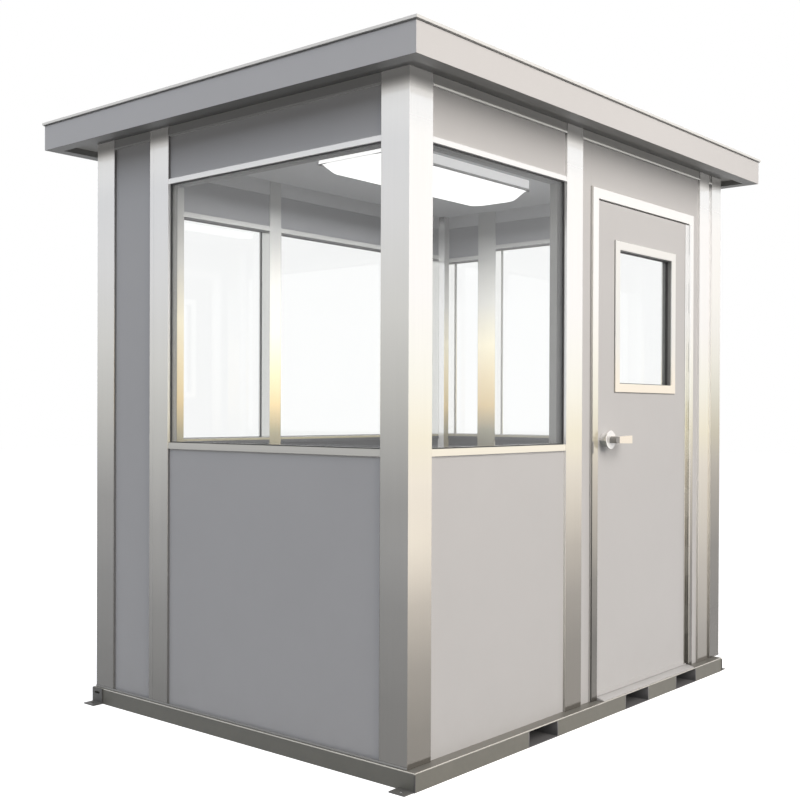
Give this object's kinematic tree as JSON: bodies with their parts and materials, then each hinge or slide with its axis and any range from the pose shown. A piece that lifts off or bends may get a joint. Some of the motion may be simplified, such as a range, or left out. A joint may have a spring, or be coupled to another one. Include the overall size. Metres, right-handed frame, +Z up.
{
  "type": "security guard booth",
  "caption": "Small walk-in guard booth with aluminium posts, grey wall panels, wrap-round windows, a half-glazed outward-swinging door and a flat overhanging roof on a skid base.",
  "frame": {"origin": "On the ground, under the middle of the roof's outline.", "axes": "+Z up. The wall with the wide window next to a narrow full-height panel faces -Y; the door is in the wall that faces +X. The roof is longest along Y."},
  "size_m": [2.074, 2.62, 2.47],
  "materials": {
    "base_steel": "satin grey paint",
    "deck_plate": "brushed plate",
    "anchor_steel": "satin dark grey paint",
    "post_aluminium": "brushed, clear anodised",
    "wall_panel": "satin light grey paint",
    "window_bar": "satin, clear anodised",
    "window_glass": "clear",
    "roof_metal": "satin light grey paint",
    "ceiling_white": "matt white paint",
    "light_body": "gloss white paint",
    "light_diffuser": "milky diffuser, lit",
    "door_trim_white": "semi-gloss off-white paint",
    "threshold_aluminium": "mill finish",
    "hinge_aluminium": "clear anodised",
    "door_panel": "satin light grey paint",
    "lock_satin": "satin nickel"
  },
  "bodies": {
    "booth": {"base_front_rail": "base_steel", "base_back_rail": "base_steel", "base_left_rail": "base_steel", "base_right_rail": "base_steel", "fork_pocket_walls": "base_steel", "floor_deck": "deck_plate", "anchor_clips": "anchor_steel", "anchor_tabs": "anchor_steel", "corner_post_front_left": "post_aluminium", "corner_post_front_right": "post_aluminium", "corner_post_back_left": "post_aluminium", "corner_post_back_right": "post_aluminium", "binder_posts": "post_aluminium", "front_side_panel": "wall_panel", "front_lower_panel": "wall_panel", "front_transom_panel": "wall_panel", "right_lower_panel": "wall_panel", "right_transom_panel": "wall_panel", "door_header_panel": "wall_panel", "right_side_panels": "wall_panel", "left_lower_panels": "wall_panel", "left_transom_panels": "wall_panel", "back_lower_panels": "wall_panel", "back_transom_panels": "wall_panel", "window_bars": "window_bar", "front_glass": "window_glass", "right_glass": "window_glass", "left_glass": "window_glass", "back_glass": "window_glass", "top_track": "post_aluminium", "roof_panel": "roof_metal", "fascia": "roof_metal", "roof_cap": "roof_metal", "ceiling_panel": "ceiling_white", "light_housing": "light_body", "light_lens": "light_diffuser", "door_frame": "door_trim_white", "door_threshold": "threshold_aluminium", "hinge_frame_leaf": "hinge_aluminium"},
    "door": {"door_leaf": "door_panel", "door_window_trim": "door_trim_white", "door_glass": "window_glass", "hinge_door_leaf": "hinge_aluminium", "lock_roses": "lock_satin"},
    "lever": {"door_lever": "lock_satin"}
  },
  "joints": [
    {"name": "door_swing", "type": "hinge", "parent": "booth", "child": "door", "pos_m": [0.889, 0.86075, 1.097], "axis": [0, 0, 1], "range_deg": [0, 100]},
    {"name": "lever_turn", "type": "hinge", "parent": "door", "child": "lever", "pos_m": [0.857, 0.097, 1.131], "axis": [-1, 0, 0], "range_deg": [0, 45], "stiffness_Nm_per_rad": 2, "springref_deg": -17.19}
  ]
}
